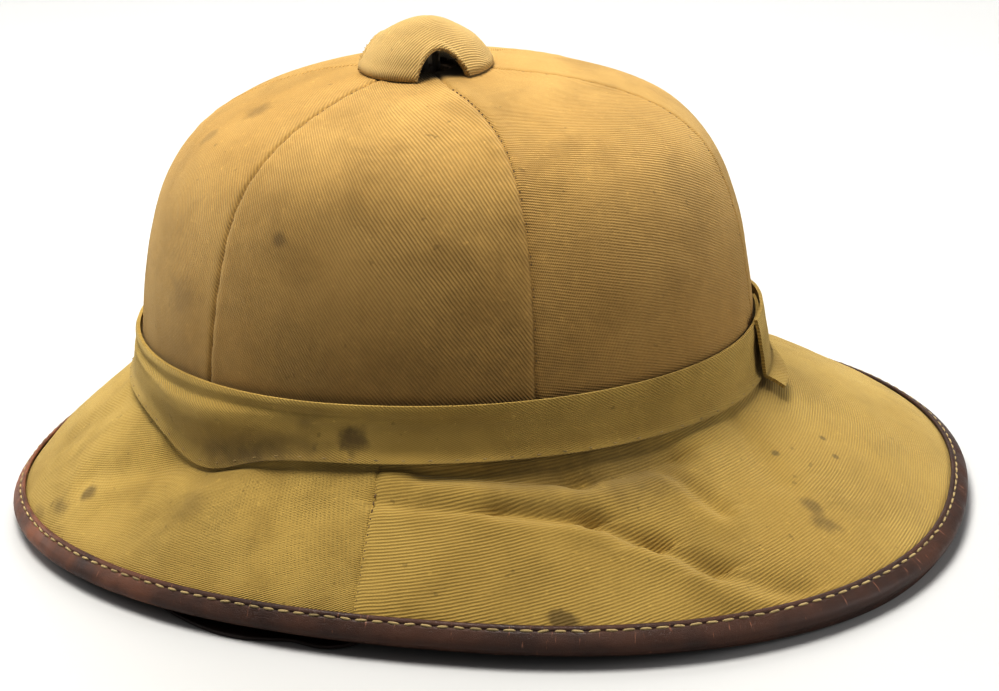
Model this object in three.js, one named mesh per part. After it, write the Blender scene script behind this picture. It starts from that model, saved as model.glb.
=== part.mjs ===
import * as THREE from 'three';

// Sun helmet of pressed cork covered with cotton twill. Millimetres, +Z up,
// +X towards the long rear brim, -Y the side of the brim seam with the dent.

// ---- walls and gaps ----
const CORK_WALL = 3.8;
const CLOTH_WALL = 1.0;
const BAND_WALL = 1.5;
const CAP_WALL = 2.4;
const GAP = 0.3;
const CLOTH_UNDER = 0.45;
const CLOTH_OVER = CLOTH_UNDER + CLOTH_WALL;
const BAND_UNDER = CLOTH_OVER + GAP;

// ---- grid steps ----
const STEPS_ROUND = 48;
const STEP_DEG = 360 / STEPS_ROUND;
const CAP_STEPS = 48;
const POST_STEPS = 20;
const STUD_STEPS = 14;

// Crown rings of the cork's outer face, from the vent hole down to the brim.
// spine is the ring's middle along X; front, rear and side are its radii;
// square is 2 for an ellipse and more for a fuller ring; skew is how many
// degrees the ring's points turn at the sides, so that side seams run straight.
const CROWN_RINGS = [
  {
    front_z: 157.9, side_z: 157.9, rear_z: 157.9,
    spine: -17.0, front: 8.0, rear: 8.0, side: 8.0, square: 2.0, skew: 0,
  },
  {
    front_z: 157.1, side_z: 157.1, rear_z: 157.1,
    spine: -17.0, front: 26.0, rear: 26.0, side: 26.0, square: 2.0, skew: 0,
  },
  {
    front_z: 154.1, side_z: 154.1, rear_z: 154.3,
    spine: -17.4, front: 43.5, rear: 53.5, side: 44.0, square: 2.0, skew: 0,
  },
  {
    front_z: 147.0, side_z: 147.2, rear_z: 147.2,
    spine: -18.2, front: 63.5, rear: 79.5, side: 62.5, square: 2.02, skew: 0,
  },
  {
    front_z: 136.7, side_z: 136.7, rear_z: 136.7,
    spine: -19.1, front: 79.5, rear: 96.0, side: 77.0, square: 2.04, skew: 0,
  },
  {
    front_z: 123.0, side_z: 123.0, rear_z: 123.0,
    spine: -20.2, front: 89.2, rear: 106.0, side: 85.0, square: 2.06, skew: 0,
  },
  {
    front_z: 104.9, side_z: 104.9, rear_z: 104.9,
    spine: -21.6, front: 94.4, rear: 113.2, side: 90.4, square: 2.06, skew: 0,
  },
  {
    front_z: 86.7, side_z: 86.7, rear_z: 86.7,
    spine: -23.1, front: 97.0, rear: 117.6, side: 93.2, square: 2.06, skew: 0,
  },
  {
    front_z: 68.5, side_z: 68.5, rear_z: 68.5,
    spine: -24.5, front: 98.0, rear: 121.0, side: 94.3, square: 2.06, skew: 0,
  },
  {
    front_z: 59.0, side_z: 58.5, rear_z: 58.0,
    spine: -25.5, front: 98.6, rear: 122.6, side: 95.6, square: 2.05, skew: -3,
  },
  {
    front_z: 50.0, side_z: 49.0, rear_z: 48.0,
    spine: -26.5, front: 99.8, rear: 125.5, side: 98.0, square: 2.04, skew: -6,
  },
];
// Edge of the cork brim, on its upper face.
const RIM_RING = {
  front_z: 4.4, side_z: 6.9, rear_z: 4.8,
  spine: 17.0, front: 190.5, rear: 155.5, side: 140.0, square: 2.27, skew: 7,
};
// Brim rows between the crown (0) and the rim (1). The sags are how far the
// brim rises above the straight line between the two.
const BRIM_ROWS = [
  { along: 0.1, sag_front: -0.6, sag_side: -0.6, sag_rear: -0.8 },
  { along: 0.25, sag_front: 0.2, sag_side: 0.4, sag_rear: -0.1 },
  { along: 0.42, sag_front: 1.0, sag_side: 1.2, sag_rear: 1.0 },
  { along: 0.6, sag_front: 1.6, sag_side: 1.8, sag_rear: 1.8 },
  { along: 0.78, sag_front: 1.6, sag_side: 1.8, sag_rear: 2.0 },
  { along: 0.92, sag_front: 0.9, sag_side: 1.0, sag_rear: 1.1 },
  { along: 1.0, sag_front: 0.0, sag_side: 0.0, sag_rear: 0.0 },
];
// Where the crown meets the brim it is pushed down at one place.
const DENT = { azimuth: -126, half_width: 13, depth: 10.5 };
// Soft valleys across the brim, each from one place to another.
const BRIM_VALLEYS = [
  { from_azimuth: -89, from_along: 0.22, to_azimuth: -61, to_along: 0.42, depth: 0.9, half_width: 15 },
  { from_azimuth: -61, from_along: 0.42, to_azimuth: -43, to_along: 0.85, depth: 1.5, half_width: 14 },
];

// ---- rows of the surface that the pieces use ----
const ROW_BAND_TOP = 8;
const ROW_GORE_END = 9;
const ROW_BRIM = 10;
const ROW_RIM = ROW_BRIM + BRIM_ROWS.length;

// ---- rim and how it stands ----
const SIDE_ARCH = 3.0;
const ARCH_FROM = 0.42;
const RIM_FOOT_HALF = 1.6;
const RIM_CLEAR = GAP;
// Leather folded over the edge: outer and inner faces, along the brim (out
// is positive) and across it (up is positive), from the cork's upper edge.
const BINDING_OVER = [
  { out: -6.3, up: 3.1 },
  { out: -1.5, up: 3.2 },
  { out: 1.1, up: 2.5 },
  { out: 1.9, up: 0.4 },
  { out: 1.9, up: -2.2 },
];
const BINDING_UNDER_EDGE = { out: -6.3, up: -5.7 };
const BINDING_INSIDE = [
  { out: -6.3, up: 1.9 },
  { out: -1.5, up: 1.8 },
  { out: RIM_CLEAR, up: 1.8 },
  { out: RIM_CLEAR, up: 0.2 },
  { out: RIM_CLEAR, up: -2.0 },
  { out: RIM_CLEAR, up: -CORK_WALL - GAP },
  { out: -2.6, up: -CORK_WALL - 2 * GAP },
  { out: -6.3, up: -CORK_WALL - 2 * GAP },
];
const BINDING_CORNER = 5;

// ---- seams ----
const GORES = 6;
const GORE_DEG = 360 / GORES;
const BRIM_SEAMS = [-90, 90];

// ---- folded band round the crown ----
// It starts under its own end at the rear and winds once round.
const BAND_START = 15;
const BAND_END = -364;
const BAND_LAP_FROM = -322.5;
const BAND_LAP_TO = -345;
const BAND_LAP_LIFT = 2.1;
const BAND_ROWS = [
  { row: ROW_BAND_TOP - 0.07, hem: 1.0, lap: 0.9, rise: 0.27 },
  { row: ROW_BAND_TOP + 0.4, hem: 0.15, lap: 1.0, rise: 0.1 },
  { row: ROW_BAND_TOP + 1.1, hem: 0.0, lap: 1.2, rise: 0.0 },
  { row: ROW_BRIM - 0.25, hem: 0.0, lap: 1.5, rise: 0.0 },
  { row: ROW_BRIM, hem: 0.0, lap: 1.7, rise: 0.0 },
];
const HEM_STAND = 0.5;
const HEM_GAPE = { azimuth: -82, half_width: 38, depth: 1.4 };

// ---- vent cap ----
const CAP_X = -17.0;
const CAP_BASE_Z = 159.1;
const CAP_RADIUS = 23.8;
const CAP_HEIGHT = 17.6;
const CAP_POINTED = 1.65;
const CAP_ROWS = [0, 18, 36, 54, 72, 90];
const CAP_ARCHES = [-60, 60, 180];
const ARCH_HALF_DEG = 22.5;
const ARCH_HEIGHT = 9.3;

// ---- post that carries the cap (radius, height) ----
const POST_PROFILE = [
  { r: 0.0, z: 151.4 },
  { r: 11.0, z: 151.6 },
  { r: 11.0, z: 153.0 },
  { r: 4.5, z: 153.2 },
  { r: 4.5, z: 167.6 },
  { r: 7.5, z: 168.2 },
  { r: 7.5, z: 169.6 },
  { r: 0.0, z: 169.8 },
];

// ---- chin strap: near half of its way, mirrored for the far half ----
const STRAP_WIDTH = 11;
const STRAP_THICK = 1.3;
const STRAP_ROUTE = [
  { x: 18, y: -82.5, z: 61.0, lean: 82 },
  { x: 15, y: -84.0, z: 51.0, lean: 76 },
  { x: 11, y: -91.0, z: 37.0, lean: 62 },
  { x: 5, y: -103.0, z: 23.0, lean: 48 },
  { x: -2, y: -116.0, z: 11.0, lean: 34 },
  { x: -11, y: -127.5, z: 4.0, lean: 14 },
  { x: -22, y: -132.5, z: 0.9, lean: 0 },
  { x: -35, y: -129.5, z: 0.75, lean: 0 },
  { x: -52, y: -130.0, z: 0.75, lean: 0 },
  { x: -67, y: -124.5, z: 0.75, lean: 0 },
  { x: -84, y: -112.5, z: 0.75, lean: 0 },
  { x: -100, y: -97.0, z: 0.75, lean: 0 },
  { x: -114, y: -74.0, z: 0.75, lean: 0 },
  { x: -125, y: -42.0, z: 0.75, lean: 0 },
  { x: -130, y: -14.0, z: 0.75, lean: 0 },
];
const STRAP_STEPS = 60;
const STUD_RADIUS = 4.2;
const STUD_THICK = 1.6;
const STUD_CLEAR = 0.55;

const DEG = Math.PI / 180;
const UP = new THREE.Vector3(0, 0, 1);

// Signed power, for rings fuller than an ellipse.
function power(value, exponent) {
  return Math.sign(value) * Math.abs(value) ** exponent;
}

// Shortest turn from one azimuth to another, in degrees.
function turn(from, to) {
  return ((((to - from + 180) % 360) + 360) % 360) - 180;
}

function bell(azimuth, place) {
  return Math.exp(-((turn(place.azimuth, azimuth) / place.half_width) ** 2));
}

function ease(value) {
  const clamped = Math.min(1, Math.max(0, value));
  return clamped * clamped * (3 - 2 * clamped);
}

// Front, side and rear values blended round the helmet.
function blend(azimuth, front, side, rear) {
  const c = Math.cos(azimuth * DEG);
  const s = Math.sin(azimuth * DEG);
  return (c > 0 ? rear : front) * c * c + side * s * s;
}

function ringPoint(ring, azimuth) {
  const turned = (azimuth + ring.skew * Math.sin(azimuth * DEG)) * DEG;
  const c = Math.cos(turned);
  const s = Math.sin(turned);
  return new THREE.Vector3(
    ring.spine + (c > 0 ? ring.rear : ring.front) * power(c, 2 / ring.square),
    ring.side * power(s, 2 / ring.square),
    blend(azimuth, ring.front_z, ring.side_z, ring.rear_z),
  );
}

// How far a place on the brim lies below the smooth surface.
function valleyDepth(azimuth, along, root, rim) {
  const length = root.distanceTo(rim);
  let depth = 0;
  for (const valley of BRIM_VALLEYS) {
    const arc = rim.length() * DEG;
    const runX = turn(valley.from_azimuth, valley.to_azimuth) * arc;
    const runY = (valley.to_along - valley.from_along) * length;
    const x = turn(valley.from_azimuth, azimuth) * arc;
    const y = (along - valley.from_along) * length;
    const part = Math.min(1, Math.max(0, (x * runX + y * runY) / (runX * runX + runY * runY)));
    const away = Math.hypot(x - runX * part, y - runY * part);
    depth = Math.max(depth, valley.depth * Math.exp(-((away / valley.half_width) ** 2)));
  }
  return depth;
}

const controlCache = new Map();

// All rows of the cork's outer face at one azimuth.
function controlPoints(azimuth) {
  if (controlCache.has(azimuth)) return controlCache.get(azimuth);
  const points = CROWN_RINGS.map((ring) => ringPoint(ring, azimuth));
  const push = DENT.depth * bell(azimuth, DENT);
  points[ROW_BRIM].z -= push;
  points[ROW_GORE_END].z -= push * 0.4;
  const root = points[ROW_BRIM];
  const rim = ringPoint(RIM_RING, azimuth);
  const span = rim.clone().sub(root);
  const flat = new THREE.Vector3(span.x, span.y, 0).normalize();
  const fall = Math.atan2(-span.z, Math.hypot(span.x, span.y));
  const rise = flat.multiplyScalar(Math.sin(fall)).addScaledVector(UP, Math.cos(fall));
  for (const row of BRIM_ROWS) {
    const sag = blend(azimuth, row.sag_front, row.sag_side, row.sag_rear);
    const lift = sag - valleyDepth(azimuth, row.along, root, rim);
    points.push(root.clone().addScaledVector(span, row.along).addScaledVector(rise, lift));
  }
  controlCache.set(azimuth, points);
  return points;
}

// A point of the cork's outer face, on a smooth curve through the rows.
function facePoint(row, azimuth) {
  const points = controlPoints(azimuth);
  const last = points.length - 1;
  const start = Math.min(last - 1, Math.max(0, Math.floor(row)));
  const f = row - start;
  const a = points[Math.max(0, start - 1)];
  const b = points[start];
  const c = points[start + 1];
  const d = points[Math.min(last, start + 2)];
  const blendAxis = (p, q, r, s) => 0.5 * (2 * q + (r - p) * f + (2 * p - 5 * q + 4 * r - s) * f * f
    + (3 * q - p - 3 * r + s) * f * f * f);
  return new THREE.Vector3(
    blendAxis(a.x, b.x, c.x, d.x),
    blendAxis(a.y, b.y, c.y, d.y),
    blendAxis(a.z, b.z, c.z, d.z),
  );
}

// Directions on the face: out along the brim, round the helmet, and off it.
function faceFrame(row, azimuth) {
  const step = 0.05;
  const turnStep = 1;
  const low = Math.max(0, row - step);
  const high = Math.min(ROW_RIM, row + step);
  const round = facePoint(row, azimuth + turnStep).sub(facePoint(row, azimuth - turnStep)).normalize();
  const outward = facePoint(high, azimuth).sub(facePoint(low, azimuth)).normalize();
  const off = outward.clone().cross(round).normalize();
  return { round, off, out: round.clone().cross(off) };
}

function offsetPoint(row, azimuth, distance) {
  return facePoint(row, azimuth).addScaledVector(faceFrame(row, azimuth).off, distance);
}

// Closed solid between two matching grids of points. Columns run round the
// helmet, and a looped solid joins its last column to its first.
function solidBetween(outer, inner, looped) {
  const columns = outer.length;
  const rows = outer[0].length;
  const positions = [];
  const places = new Map();
  const triangles = [];
  const index = (point) => {
    const key = [point.x, point.y, point.z].map((n) => Math.round(n * 1e4)).join(',');
    if (!places.has(key)) {
      places.set(key, positions.length / 3);
      positions.push(point.x, point.y, point.z);
    }
    return places.get(key);
  };
  const triangle = (a, b, c) => {
    if (a !== b && b !== c && a !== c) triangles.push(a, b, c);
  };
  const quad = (a, b, c, d) => {
    const [i, j, k, l] = [a, b, c, d].map(index);
    triangle(i, j, k);
    triangle(i, k, l);
  };
  const sides = looped ? columns : columns - 1;
  for (let j = 0; j < sides; j += 1) {
    const k = (j + 1) % columns;
    for (let i = 0; i + 1 < rows; i += 1) {
      quad(outer[j][i], outer[j][i + 1], outer[k][i + 1], outer[k][i]);
      quad(inner[k][i], inner[k][i + 1], inner[j][i + 1], inner[j][i]);
    }
    quad(inner[k][0], inner[j][0], outer[j][0], outer[k][0]);
    quad(outer[k][rows - 1], outer[j][rows - 1], inner[j][rows - 1], inner[k][rows - 1]);
  }
  if (!looped) {
    const end = columns - 1;
    for (let i = 0; i + 1 < rows; i += 1) {
      quad(outer[0][i], inner[0][i], inner[0][i + 1], outer[0][i + 1]);
      quad(outer[end][i + 1], inner[end][i + 1], inner[end][i], outer[end][i]);
    }
  }
  return orientedSolid(positions, triangles);
}

// Geometry with its triangles turned so that they all face outwards.
function orientedSolid(positions, triangles) {
  const corner = (n) => new THREE.Vector3().fromArray(positions, n * 3);
  let volume = 0;
  for (let n = 0; n < triangles.length; n += 3) {
    volume += corner(triangles[n]).dot(corner(triangles[n + 1]).cross(corner(triangles[n + 2])));
  }
  if (volume < 0) {
    for (let n = 0; n < triangles.length; n += 3) {
      [triangles[n + 1], triangles[n + 2]] = [triangles[n + 2], triangles[n + 1]];
    }
  }
  const geometry = new THREE.BufferGeometry();
  geometry.setAttribute('position', new THREE.Float32BufferAttribute(positions, 3));
  geometry.setIndex(triangles);
  geometry.computeVertexNormals();
  return geometry;
}

// Wall of even thickness on the face between two azimuths.
function wall(rows, azimuths, over, under, looped) {
  const grid = (distance) => azimuths.map(
    (azimuth) => rows.map((row) => offsetPoint(row, azimuth, distance)),
  );
  return solidBetween(grid(over), grid(under), looped);
}

function rowsBetween(first, last) {
  const rows = [];
  for (let row = first; row <= last; row += 1) rows.push(row);
  return rows;
}

function azimuthsBetween(first, last) {
  const azimuths = [];
  for (let azimuth = first; azimuth < last - 0.01; azimuth += STEP_DEG) azimuths.push(azimuth);
  azimuths.push(last);
  return azimuths;
}

const ALL_ROUND = azimuthsBetween(-180, 180).slice(0, -1);

function corkShell() {
  return wall(rowsBetween(0, ROW_RIM), ALL_ROUND, 0, -CORK_WALL, true);
}

// Piece of cloth between two seams. Its side edges keep half a gap each.
function seamedPanel(rows, first, last) {
  const azimuths = azimuthsBetween(first, last);
  const middle = (first + last) / 2;
  const pulled = (row, azimuth) => {
    if (azimuth !== first && azimuth !== last) return azimuth;
    const radius = Math.hypot(facePoint(row, azimuth).x - CAP_X, facePoint(row, azimuth).y);
    return azimuth + Math.sign(middle - azimuth) * (GAP / 2 / radius / DEG);
  };
  const grid = (distance) => azimuths.map(
    (azimuth) => rows.map((row) => offsetPoint(row, pulled(row, azimuth), distance)),
  );
  return solidBetween(grid(CLOTH_OVER), grid(CLOTH_UNDER), false);
}

function crownGore(number) {
  const first = -180 + number * GORE_DEG;
  return seamedPanel(rowsBetween(0, ROW_GORE_END), first, first + GORE_DEG);
}

function brimCover(first) {
  return seamedPanel(rowsBetween(ROW_BRIM, ROW_RIM), first, first + 180);
}

// Band wound once round the crown, its free end lying over its start.
function foldedBand() {
  const stations = [BAND_END];
  for (let azimuth = BAND_START - 360 - 15; azimuth <= BAND_START; azimuth += STEP_DEG) {
    if (azimuth > BAND_END + 1) stations.push(azimuth);
  }
  const column = (azimuth, distance) => BAND_ROWS.map((place) => {
    const lap = ease((BAND_LAP_FROM - azimuth) / (BAND_LAP_FROM - BAND_LAP_TO));
    const stand = HEM_STAND + HEM_GAPE.depth * bell(azimuth, HEM_GAPE);
    const lift = lap * BAND_LAP_LIFT * place.lap + stand * place.hem * (1 - lap);
    return offsetPoint(place.row - lap * place.rise, azimuth, distance + lift);
  });
  return solidBetween(
    stations.map((azimuth) => column(azimuth, BAND_UNDER + BAND_WALL)),
    stations.map((azimuth) => column(azimuth, BAND_UNDER)),
    false,
  );
}

// Height of the rim's underside: flat at front and rear, arched at the sides.
function footHeight(azimuth) {
  return SIDE_ARCH * ease((Math.abs(Math.sin(azimuth * DEG)) - ARCH_FROM) / (1 - ARCH_FROM));
}

function rimBinding() {
  const outer = [];
  const inner = [];
  for (const azimuth of ALL_ROUND) {
    const edge = facePoint(ROW_RIM, azimuth);
    const frame = faceFrame(ROW_RIM, azimuth);
    const at = (place) => edge.clone()
      .addScaledVector(frame.out, place.out)
      .addScaledVector(frame.off, place.up);
    const outwards = frame.round.clone().cross(UP).normalize();
    const inside = BINDING_INSIDE.map(at);
    const foot = [RIM_FOOT_HALF, -RIM_FOOT_HALF].map((shift) => {
      const point = inside[BINDING_CORNER].clone().addScaledVector(outwards, shift);
      point.z = footHeight(azimuth);
      return point;
    });
    outer.push([...BINDING_OVER.map(at), ...foot, at(BINDING_UNDER_EDGE)]);
    inner.push(inside);
  }
  return solidBetween(outer, inner, true);
}

// Lower edge of the vent cap above its base: three arches, level between.
function archHeight(azimuth) {
  const away = Math.min(...CAP_ARCHES.map((arch) => Math.abs(turn(arch, azimuth))));
  if (away >= ARCH_HALF_DEG) return 0;
  return ARCH_HEIGHT * (1 - (away / ARCH_HALF_DEG) ** 1.6) ** 0.85;
}

function ventCap() {
  const grid = (shrink) => {
    const columns = [];
    const radius = CAP_RADIUS - shrink;
    const height = CAP_HEIGHT - shrink;
    for (let n = 0; n < CAP_STEPS; n += 1) {
      const azimuth = (n * 360) / CAP_STEPS;
      const lowest = Math.acos((archHeight(azimuth) / height) ** (CAP_POINTED / 2)) / DEG;
      columns.push(CAP_ROWS.map((tilt) => {
        const angle = ((tilt * lowest) / 90) * DEG;
        const reach = radius * power(Math.sin(angle), 2 / CAP_POINTED);
        return new THREE.Vector3(
          CAP_X + reach * Math.cos(azimuth * DEG),
          reach * Math.sin(azimuth * DEG),
          CAP_BASE_Z + height * power(Math.max(0, Math.cos(angle)), 2 / CAP_POINTED),
        );
      }));
    }
    return columns;
  };
  return solidBetween(grid(0), grid(CAP_WALL), true);
}

function ventPost() {
  const profile = POST_PROFILE.map((place) => new THREE.Vector2(place.r, place.z));
  const geometry = new THREE.LatheGeometry(profile, POST_STEPS);
  geometry.rotateX(Math.PI / 2);
  geometry.translate(CAP_X, 0, 0);
  return weldedSolid(geometry);
}

// The same surface with doubled vertices joined and empty triangles dropped.
function weldedSolid(geometry) {
  const source = geometry.getAttribute('position');
  const places = new Map();
  const positions = [];
  const names = [];
  for (let n = 0; n < source.count; n += 1) {
    const key = [source.getX(n), source.getY(n), source.getZ(n)].map((v) => Math.round(v * 1e3)).join(',');
    if (!places.has(key)) {
      places.set(key, positions.length / 3);
      positions.push(source.getX(n), source.getY(n), source.getZ(n));
    }
    names.push(places.get(key));
  }
  const order = geometry.index ? Array.from(geometry.index.array) : names.map((_, n) => n);
  const triangles = [];
  for (let n = 0; n < order.length; n += 3) {
    const [a, b, c] = [names[order[n]], names[order[n + 1]], names[order[n + 2]]];
    if (a !== b && b !== c && a !== c) triangles.push(a, b, c);
  }
  return orientedSolid(positions, triangles);
}

function strapStations() {
  const near = STRAP_ROUTE;
  const far = near.map((place) => ({ ...place, y: -place.y })).reverse();
  return [...near, ...far];
}

// The strap's middle line and the direction its face looks, at even steps.
function strapFrames() {
  const stations = strapStations();
  const curve = new THREE.CatmullRomCurve3(
    stations.map((place) => new THREE.Vector3(place.x, place.y, place.z)),
    false,
    'centripetal',
  );
  const frames = [];
  for (let n = 0; n <= STRAP_STEPS; n += 1) {
    const u = n / STRAP_STEPS;
    const t = curve.getUtoTmapping(u);
    const point = curve.getPoint(t);
    const tangent = curve.getTangent(t);
    const spot = t * (stations.length - 1);
    const first = Math.min(stations.length - 2, Math.floor(spot));
    const lean = THREE.MathUtils.lerp(stations[first].lean, stations[first + 1].lean, spot - first) * DEG;
    const outwards = new THREE.Vector3((point.x - CAP_X) * 0.4, point.y, 0).normalize();
    const face = new THREE.Vector3(0, 0, Math.cos(lean)).addScaledVector(outwards, Math.sin(lean));
    face.addScaledVector(tangent, -face.dot(tangent)).normalize();
    frames.push({ point, tangent, face, side: face.clone().cross(tangent).normalize() });
  }
  return frames;
}

function chinStrap() {
  const outer = [];
  const inner = [];
  for (const frame of strapFrames()) {
    const at = (side, face) => {
      const point = frame.point.clone();
      point.addScaledVector(frame.side, (side * STRAP_WIDTH) / 2);
      return point.addScaledVector(frame.face, (face * STRAP_THICK) / 2);
    };
    outer.push([at(-1, 1), at(0, 1), at(1, 1)]);
    inner.push([at(-1, -1), at(0, -1), at(1, -1)]);
  }
  return solidBetween(outer, inner, false);
}

// Low round stud that holds one end of the strap to the crown wall.
function strapStud(farSide) {
  const frames = strapFrames();
  const { point, face } = farSide ? frames[frames.length - 2] : frames[1];
  const geometry = new THREE.CylinderGeometry(STUD_RADIUS * 0.7, STUD_RADIUS, STUD_THICK, STUD_STEPS);
  geometry.translate(0, STRAP_THICK / 2 + STUD_CLEAR + STUD_THICK / 2, 0);
  geometry.applyQuaternion(new THREE.Quaternion().setFromUnitVectors(new THREE.Vector3(0, -1, 0), face));
  geometry.translate(point.x, point.y, point.z);
  return weldedSolid(geometry);
}

const group = new THREE.Group();
group.name = 'sun_helmet';

function add(name, geometry, color, roughness, metalness) {
  const material = new THREE.MeshStandardMaterial({ color, roughness, metalness });
  material.name = name;
  const mesh = new THREE.Mesh(geometry, material);
  mesh.name = name;
  group.add(mesh);
}

const CORK = 0xb08a5c;
const TWILL = 0xb4964f;
const BRIM_TWILL = 0xab8b45;
const DARK_LEATHER = 0x3c2522;
const STRAP_LEATHER = 0x2a1b17;
const DULL_METAL = 0x8f8a80;

add('cork_shell', corkShell(), CORK, 0.95, 0);
for (let number = 0; number < GORES; number += 1) {
  add(`crown_gore_${number + 1}`, crownGore(number), TWILL, 0.9, 0);
}
add('brim_cover_front', brimCover(BRIM_SEAMS[1]), BRIM_TWILL, 0.9, 0);
add('brim_cover_rear', brimCover(BRIM_SEAMS[0]), BRIM_TWILL, 0.9, 0);
add('puggaree_band', foldedBand(), TWILL, 0.9, 0);
add('rim_binding', rimBinding(), DARK_LEATHER, 0.55, 0);
add('vent_cap', ventCap(), TWILL, 0.9, 0);
add('vent_post', ventPost(), DULL_METAL, 0.5, 0.6);
add('chin_strap', chinStrap(), STRAP_LEATHER, 0.6, 0);
add('strap_stud_near', strapStud(false), DULL_METAL, 0.4, 0.8);
add('strap_stud_far', strapStud(true), DULL_METAL, 0.4, 0.8);

// Stand the helmet over the origin: middle of its length and width.
group.updateMatrixWorld(true);
const middle = new THREE.Box3().setFromObject(group).getCenter(new THREE.Vector3());
for (const mesh of group.children) mesh.geometry.translate(-middle.x, -middle.y, 0);

export default group;
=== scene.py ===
import math

import bmesh
import bpy
import numpy as np
from mathutils import Matrix, Vector


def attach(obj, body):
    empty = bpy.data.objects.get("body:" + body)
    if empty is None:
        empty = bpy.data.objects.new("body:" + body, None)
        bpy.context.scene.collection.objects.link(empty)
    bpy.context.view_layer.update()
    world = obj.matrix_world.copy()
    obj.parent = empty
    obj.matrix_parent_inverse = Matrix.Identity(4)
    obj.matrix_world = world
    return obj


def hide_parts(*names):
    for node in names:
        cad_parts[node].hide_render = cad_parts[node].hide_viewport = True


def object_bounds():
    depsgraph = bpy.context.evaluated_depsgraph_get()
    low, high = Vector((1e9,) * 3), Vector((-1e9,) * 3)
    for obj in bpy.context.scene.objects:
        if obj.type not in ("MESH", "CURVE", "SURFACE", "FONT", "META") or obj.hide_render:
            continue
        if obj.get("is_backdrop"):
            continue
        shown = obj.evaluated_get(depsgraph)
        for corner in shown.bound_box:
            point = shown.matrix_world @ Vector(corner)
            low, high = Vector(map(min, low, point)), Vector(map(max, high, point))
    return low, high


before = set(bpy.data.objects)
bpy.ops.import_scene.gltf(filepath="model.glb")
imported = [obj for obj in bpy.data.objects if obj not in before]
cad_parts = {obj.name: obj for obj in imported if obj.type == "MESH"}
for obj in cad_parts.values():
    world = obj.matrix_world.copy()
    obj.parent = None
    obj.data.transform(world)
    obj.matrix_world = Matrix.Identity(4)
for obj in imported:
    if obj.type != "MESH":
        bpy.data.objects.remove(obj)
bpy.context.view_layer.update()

MM = 0.001
TURN = 2 * math.pi
rng = np.random.default_rng(41)

# ---------------------------------------------------------------- surface
# Rings of the cork's outer face in millimetres: heights at front, side and
# rear, the ring's middle along X, its front, rear and side radii, how full it
# is, and how far its points turn at the sides.
RING = np.array([
    (157.9, 157.9, 157.9, -17.0, 8.0, 8.0, 8.0, 2.0, 0),
    (157.1, 157.1, 157.1, -17.0, 26.0, 26.0, 26.0, 2.0, 0),
    (154.1, 154.1, 154.3, -17.4, 43.5, 53.5, 44.0, 2.0, 0),
    (147.0, 147.2, 147.2, -18.2, 63.5, 79.5, 62.5, 2.02, 0),
    (136.7, 136.7, 136.7, -19.1, 79.5, 96.0, 77.0, 2.04, 0),
    (123.0, 123.0, 123.0, -20.2, 89.2, 106.0, 85.0, 2.06, 0),
    (104.9, 104.9, 104.9, -21.6, 94.4, 113.2, 90.4, 2.06, 0),
    (86.7, 86.7, 86.7, -23.1, 97.0, 117.6, 93.2, 2.06, 0),
    (68.5, 68.5, 68.5, -24.5, 98.0, 121.0, 94.3, 2.06, 0),
    (59.0, 58.5, 58.0, -25.5, 98.6, 122.6, 95.6, 2.05, -3),
    (50.0, 49.0, 48.0, -26.5, 99.8, 125.5, 98.0, 2.04, -6),
])
RIM = np.array([4.4, 6.9, 4.8, 17.0, 190.5, 155.5, 140.0, 2.27, 7])
# How far along the brim, and how far it rises at front, side and rear.
BRIM = np.array([
    (0.1, -0.6, -0.6, -0.8),
    (0.25, 0.2, 0.4, -0.1),
    (0.42, 1.0, 1.2, 1.0),
    (0.6, 1.6, 1.8, 1.8),
    (0.78, 1.6, 1.8, 2.0),
    (0.92, 0.9, 1.0, 1.1),
    (1.0, 0.0, 0.0, 0.0),
])
ROW_TOP, ROW_GORE_END, ROW_BRIM = 8, 9, 10
ROW_RIM = ROW_BRIM + len(BRIM)
DENT_AZ, DENT_HALF, DENT_DEEP = -126, 13, 10.5
CLOTH_UNDER, CLOTH_WALL, CORK_WALL = 0.45, 1.0, 3.8
CLOTH_OVER = CLOTH_UNDER + CLOTH_WALL
CAP_X = -17.0

# Folds in the brim cloth: azimuth and share along the brim at both ends,
# depth (a ridge is negative), half width on each side of the line, and how
# much steeper the lower side is.
FOLDS = [
    (-83, 0.06, -60, 0.16, 1.9, 6.0, 1.6),
    (-60, 0.16, -42, 0.13, 2.6, 8.0, 1.7),
    (-90, 0.24, -74, 0.3, 1.1, 4.0, 1.5),
    (-74, 0.3, -62, 0.4, 1.7, 4.5, 1.8),
    (-62, 0.4, -55, 0.55, 2.2, 5.0, 2.0),
    (-55, 0.55, -49, 0.72, 2.2, 5.5, 1.8),
    (-49, 0.72, -40, 0.9, 1.3, 6.0, 1.3),
    (-45, 0.2, -42, 0.45, 1.3, 4.0, 1.4),
    (-70, 0.5, -60, 0.66, -0.9, 9.0, 1.0),
    (-76, 0.22, -64, 0.29, -0.9, 5.0, 1.0),
    (-108, 0.1, -98, 0.34, 0.8, 8.0, 1.0),
    (-132, 0.12, -142, 0.5, 1.2, 8.0, 1.0),
    (-118, 0.2, -116, 0.6, -0.9, 10.0, 1.0),
    (-155, 0.1, -160, 0.5, 0.7, 8.0, 1.0),
    (-22, 0.1, -28, 0.4, 0.8, 7.0, 1.2),
    (40, 0.15, 60, 0.6, 1.0, 8.0, 1.2),
    (96, 0.1, 84, 0.5, 0.9, 7.0, 1.0),
    (140, 0.2, 150, 0.7, 0.8, 9.0, 1.0),
]


def turn(a, b):
    return (np.asarray(b) - a + 180) % 360 - 180


def ease(v):
    v = np.clip(v, 0, 1)
    return v * v * (3 - 2 * v)


def blend_round(az, front, side, rear):
    c, s = np.cos(np.radians(az)), np.sin(np.radians(az))
    return np.where(c > 0, rear, front) * c * c + side * s * s


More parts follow.
